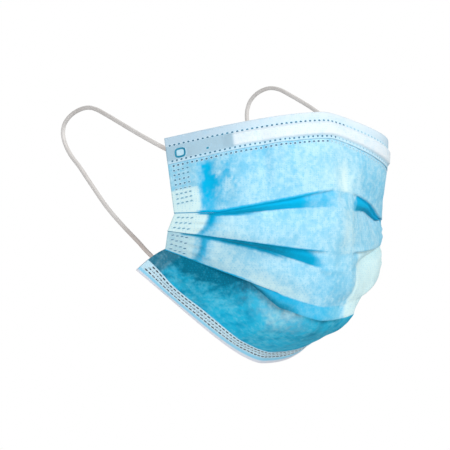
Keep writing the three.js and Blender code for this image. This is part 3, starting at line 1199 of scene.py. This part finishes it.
@dataclass
class EarLoop:
    """A round elastic cord between two welds inside the mask."""

    name: str
    node: str
    path: tuple[tuple[float, float, float], ...]
    diameter: float = 2.3
    sides: int = 16
    steps: int = 420
    lay: str = "hanging"

    def line(self) -> np.ndarray:
        """The smooth centre line through the path's points, evenly spaced, in millimetres."""
        points = [Vector(p) for p in self.path]
        points = [points[0] * 2 - points[1], *points, points[-1] * 2 - points[-2]]
        fine = []
        for i in range(1, len(points) - 2):
            before, start, end, after = points[i - 1:i + 3]
            pairs = ((before, start), (start, end), (end, after))
            gaps = [max((b - a).length, 1e-6) ** 0.5 for a, b in pairs]
            leave = ((start - before) / gaps[0] - (end - before) / (gaps[0] + gaps[1])
                     + (end - start) / gaps[1]) * gaps[1]
            arrive = ((end - start) / gaps[1] - (after - start) / (gaps[1] + gaps[2])
                      + (after - end) / gaps[2]) * gaps[1]
            for k in range(24):
                s = k / 24
                fine.append(start * (2 * s ** 3 - 3 * s ** 2 + 1) + leave * (s ** 3 - 2 * s ** 2 + s)
                            + end * (3 * s ** 2 - 2 * s ** 3) + arrive * (s ** 3 - s ** 2))
        fine.append(points[-2])
        line = np.array(fine)
        sums = np.r_[0, np.cumsum(np.linalg.norm(np.diff(line, axis=0), axis=1))]
        even = np.linspace(0, sums[-1], self.steps + 1)
        return np.stack([np.interp(even, sums, line[:, k]) for k in range(3)], 1)

    def frames(self, line: np.ndarray) -> list[Matrix]:
        """A unit circle's place round each point of a centre line, untwisted from one to the next."""
        side = Vector((1, 0, 0))
        frames = []
        for i, point in enumerate(line):
            ahead = Vector(line[min(i + 1, self.steps)] - line[max(i - 1, 0)]).normalized()
            side = (side - ahead * side.dot(ahead)).normalized()
            frames.append(Matrix.Translation(Vector(point) * MM)
                          @ Matrix((side, ahead.cross(side), ahead)).transposed().to_4x4()
                          @ Matrix.Diagonal((self.diameter / 2 * MM, self.diameter / 2 * MM, 1, 1)))
        return frames

    def build(self, exit_at: tuple[float, float, float]) -> bpy.types.Object:
        """Models and dresses the cord.

        Args:
            exit_at: Where it leaves the mask, in millimetres; not used.

        Returns:
            The finished piece.
        """
        line = self.line()
        length = float(np.linalg.norm(np.diff(line, axis=0), axis=1).sum())
        bm = bmesh.new()
        bmesh.ops.create_grid(bm, x_segments=self.sides, y_segments=self.steps, size=0.5)
        layer = bm.loops.layers.uv.new("UVMap")
        flat = {vertex: (vertex.co.x + 0.5, vertex.co.y + 0.5) for vertex in bm.verts}
        for face in bm.faces:
            for loop in face.loops:
                turn, along = flat[loop.vert]
                loop[layer].uv = (turn, along * length)
        frames = self.frames(line)
        for vertex, (turn, along) in flat.items():
            angle = 2 * math.pi * turn
            vertex.co = frames[round(along * self.steps)] @ Vector((math.cos(angle), math.sin(angle), 0))
        bmesh.ops.remove_doubles(bm, verts=bm.verts[:], dist=MM * MM)
        bmesh.ops.holes_fill(bm, edges=[edge for edge in bm.edges if edge.is_boundary], sides=0)
        bmesh.ops.recalc_face_normals(bm, faces=bm.faces[:])
        obj = finished(self.name, bm)
        obj.data.materials.append(Elastic("knitted_elastic_" + self.name, length).made())
        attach(obj, "root")
        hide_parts(self.node)
        log.info("%s: %.0f mm of cord", self.name, length)
        return obj


RIGHT_LOOP = (
    (-62.9, -7, 35.7), (-64.7, -3.7, 37.4), (-66.5, -0.3, 39.1), (-70.3, 13.4, 45.7), (-71, 33.9, 54.2),
    (-71.5, 50, 61), (-71.5, 60.4, 64.9), (-71.5, 68.5, 66.5), (-71.5, 78, 65.9), (-71.5, 87.2, 63.1),
    (-71.5, 92.6, 59), (-71.3, 94.2, 54.4), (-71, 92.6, 49), (-70.5, 87.2, 42), (-70, 79.4, 35.4),
    (-69, 68.2, 24.5), (-67.5, 55.3, 12), (-66, 41.2, 1), (-65.2, 28.7, -7.4), (-64.2, 23.6, -11.7),
    (-62.6, 20.9, -14.6), (-60.8, 19.9, -17.1), (-59.3, 18.8, -19.8),
)
LEFT_LOOP = (
    (57.7, -11.5, 34.5), (58.3, -8.2, 36.7), (58.7, -4.8, 38.9), (59.9, 2.6, 44), (61.5, 15, 53.8),
    (61.8, 30, 64.9), (61.3, 40.5, 71.3), (60.6, 50.5, 76.4), (59, 60.4, 81.4), (58, 68, 84.8),
    (57.2, 76, 86.3), (56.5, 83.2, 85.4), (56, 89.2, 83), (55.5, 93.4, 79.2), (55, 95.2, 73.8),
    (55, 94.6, 67.5), (55.5, 90.5, 58), (56.5, 81.5, 45), (58.5, 68.5, 29.5), (61, 54.5, 14.5),
    (62.9, 41, 2), (64.3, 29, -7.5), (64.6, 20.8, -12.9), (63.8, 15.5, -16.3), (61.9, 14.6, -18.9),
    (60, 13.7, -21.7),
)


TOP_HEM = HemCloth("top_hem_cloth", bands=(
    (0, "D8E3EA"), (1.0, "D6E4EC"), (4.2, "D0E2EC"), (5.8, "DDE8EF"), (11.8, "DFE9EF"), (12.8, "BFDDEC"),
    (16, "B6DAEC"),
), wired=True)
BOTTOM_HEM = HemCloth("bottom_hem_cloth", bands=(
    (0, "E6E4EC"), (1.5, "DCE2EC"), (2.2, "8ED4F2"), (3.5, "9EDAF2"), (4.1, "C8E8F6"), (10, "C4E8F6"),
))


@dataclass
class Studio:
    """The floor, the soft lights and the camera at the photograph's angle.

    The camera's distance and its shift beside and above the mask are in millimetres, and it is turned
    to the wearer's right and raised by degrees. The floor's sizes are in metres.
    """

    distance: float = 1200.0
    lens: float = 180.5
    aside: float = 24.2
    above: float = 2.4
    turned: float = 36.0
    raised: float = -3.0
    floor_drop: float = 0.32
    floor_radius: float = 3.0
    room_glow: float = 0.24

    def camera(self) -> None:
        """Places the camera."""
        turn, rise = math.radians(self.turned), math.radians(self.raised)
        right = Vector((math.cos(turn), -math.sin(turn), 0))
        ahead = Vector((math.sin(turn), math.cos(turn), -math.tan(rise))).normalized()
        up = right.cross(ahead).normalized()
        data = bpy.data.cameras.new("camera")
        data.lens = self.lens
        data.sensor_width = 36
        data.clip_end = 50
        obj = bpy.data.objects.new("camera", data)
        spot = (-right * self.aside + up * self.above - ahead * self.distance) * MM
        obj.matrix_world = Matrix.Translation(spot) @ Matrix((right, up, -ahead)).transposed().to_4x4()
        bpy.context.scene.collection.objects.link(obj)
        bpy.context.scene.camera = obj
        bpy.context.scene.view_settings.view_transform = "Standard"

    def floor(self) -> None:
        """Lays the floor."""
        bm = bmesh.new()
        bmesh.ops.create_circle(bm, cap_ends=True, segments=64, radius=self.floor_radius,
                                matrix=Matrix.Translation((0, 0, -self.floor_drop)))
        obj = finished("floor", bm, False)
        graph = Graph("pale_floor")
        obj.data.materials.append(graph.finish(Base_Color=(0.8, 0.8, 0.8), Roughness=0.9))

    def light(self, name: str, spot: tuple[float, float, float], power: float, size: float,
              colour: Colour = (1, 1, 1)) -> None:
        """Hangs a square soft light that faces the mask.

        Args:
            name: The light's name.
            spot: Its place in metres.
            power: Its power in watts.
            size: Its side in metres.
            colour: Its colour.
        """
        data = bpy.data.lights.new(name, "AREA")
        data.energy = power
        data.size = size
        data.spread = math.radians(80)
        data.color = colour
        obj = bpy.data.objects.new(name, data)
        obj.matrix_world = (Matrix.Translation(spot)
                            @ (-Vector(spot)).to_track_quat("-Z", "Y").to_matrix().to_4x4())
        bpy.context.scene.collection.objects.link(obj)

    def build(self) -> None:
        """Sets up the whole studio."""
        self.floor()
        self.light("key", (0.9, -1.5, 0.95), 5.6, 0.9, (1.0, 0.99, 0.97))
        self.light("side", (-1.5, -1.1, 0.3), 5.8, 1.2, (0.96, 0.98, 1.0))
        self.light("back", (0.3, 1.6, 1.2), 4, 1.4)
        world = bpy.data.worlds.new("room")
        bpy.context.scene.world = world
        world.use_nodes = True
        nodes, links = world.node_tree.nodes, world.node_tree.links
        nodes.clear()
        blend = nodes.new("ShaderNodeMixShader")
        links.new(nodes.new("ShaderNodeLightPath").outputs["Is Camera Ray"], blend.inputs[0])
        for socket, glow, colour in ((1, self.room_glow, (0.93, 0.97, 1, 1)), (2, 1.0, (1, 1, 1, 1))):
            shade = nodes.new("ShaderNodeBackground")
            shade.inputs["Color"].default_value = colour
            shade.inputs["Strength"].default_value = glow
            links.new(shade.outputs[0], blend.inputs[socket])
        links.new(blend.outputs[0], nodes.new("ShaderNodeOutputWorld").inputs["Surface"])


def weld_marks(form: MaskForm, top_hem: Hem, bottom_hem: Hem) -> list[bpy.types.Object]:
    """Presses the weld dots into the hems and side bands, and the frames over the cords' ends.

    Args:
        form: The cloth's form.
        top_hem: The strip over the top edge.
        bottom_hem: The strip over the bottom edge.

    Returns:
        The finished pieces.
    """
    rim = Pressed("pressed_rim", "CFE8F4", "B2DAEC", 0.7)
    grey_rim = Pressed("pressed_grey_rim", "D2DEE4", "B5C6D0", 0.7)
    slate = Pressed("pressed_slate", "2B6280", "42809F")
    faint = Pressed("pressed_faint", "8DBDD2", "A6CFE0")
    blue = Pressed("pressed_blue", "2C7C9C", "4B93B0")
    green = Pressed("pressed_green", "5B98AC", "7DB2C2")
    teal = Pressed("pressed_teal", "087A9C", "1E92B2")
    ink = Pressed("pressed_dark", "1F2E3A", "35505F")
    top_rows = []
    for start, end, distance in ((-85, 10, 4.7), (-84.6, 2, 13.1), (-84.3, -2, 15.7)):
        count = round((end - start) / DOT_PITCH) + 1
        top_rows.append(DotRow(start, end, distance))
        top_rows.append(DotRow(start + count * DOT_PITCH, -start, distance, pit=2))
    low_rows = [DotRow(start, 84, distance, long=2.05, tall=0.9)
                for start, distance in ((-84, 4.7), (-83, 6.8), (-82, 8.9))]
    side_rows = []
    for low, high in ((-84.4, -76.9), (76.9, 84.4)):
        side_rows += [DotRow(low, high, 18.2 + 2.55 * n, pitch=2.5, tall=0.9) for n in range(4)]
        for n in range(4):
            side_rows.append(DotRow(low, high, 28.4 + 2.5 * n, pitch=2.5, long=1.6, tall=0.7, pit=2))
        side_rows += [DotRow(low, high, share, 1, 2.5, 1.6, 0.7, 2) for share in (0.22, 0.5, 0.78)]
        side_rows += [DotRow(low, high, share, 2, 2.5, 1.8, 0.8) for share in (0.14, 0.37, 0.6, 0.83)]
    marks = (
        Impressions(form, "top_weld_dots", top_rows, (rim, slate, faint), "hem_nonwoven", top_hem.outer),
        Impressions(form, "bottom_weld_dots", low_rows, (grey_rim, ink), "hem_nonwoven",
                    bottom_hem.outer, True),
        Impressions(form, "side_weld_dots", side_rows, (rim, blue, green), "blue_nonwoven",
                    lambda t, distance: 0.12),
        Impressions(form, "loop_weld_frames", [DotRow(-65, -65, 10.4, long=1.6, tall=1.3)],
                    (rim, teal), "hem_nonwoven", top_hem.outer, frames=((-79.7, 9.6), (79.7, 9.6))),
    )
    return [mark.build() for mark in marks]


def main() -> None:
    """Builds every piece of the mask and the studio round it."""
    logging.basicConfig(level=logging.INFO, format="%(message)s")
    studio = Studio()
    studio.camera()
    EarLoop("right_ear_loop", "ear_loop_right", RIGHT_LOOP).build(RIGHT_LOOP[2])
    EarLoop("left_ear_loop", "ear_loop_left", LEFT_LOOP).build(LEFT_LOOP[2])
    form = MaskForm()
    log.info("cloth form: %d by %d points", *form.points.shape[:2])
    body = MaskBody(form).build()
    top_hem = Hem(form, "top_hem_strip", "top_hem", TOP_HEM, bottom=False, width=14.4, back=11.5,
                  channel=(6.4, 11.6), seams=(4.7, 13.1))
    bottom_hem = Hem(form, "bottom_hem_strip", "bottom_hem", BOTTOM_HEM, bottom=True, width=10.2,
                     back=10.0, seams=(4.9, 7.0, 9.1))
    strips = [top_hem.build(), bottom_hem.build()]
    impressions = weld_marks(form, top_hem, bottom_hem)
    strips + impressions
    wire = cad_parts["nose_wire"]
    wire.data.materials.clear()
    wire.data.materials.append(Coat("wire_coat").made())
    studio.build()
    for obj in (body, *strips, *impressions):
        log.info("%s: %d faces", obj.name, len(obj.data.polygons))


if __name__ == "__main__":
    main()
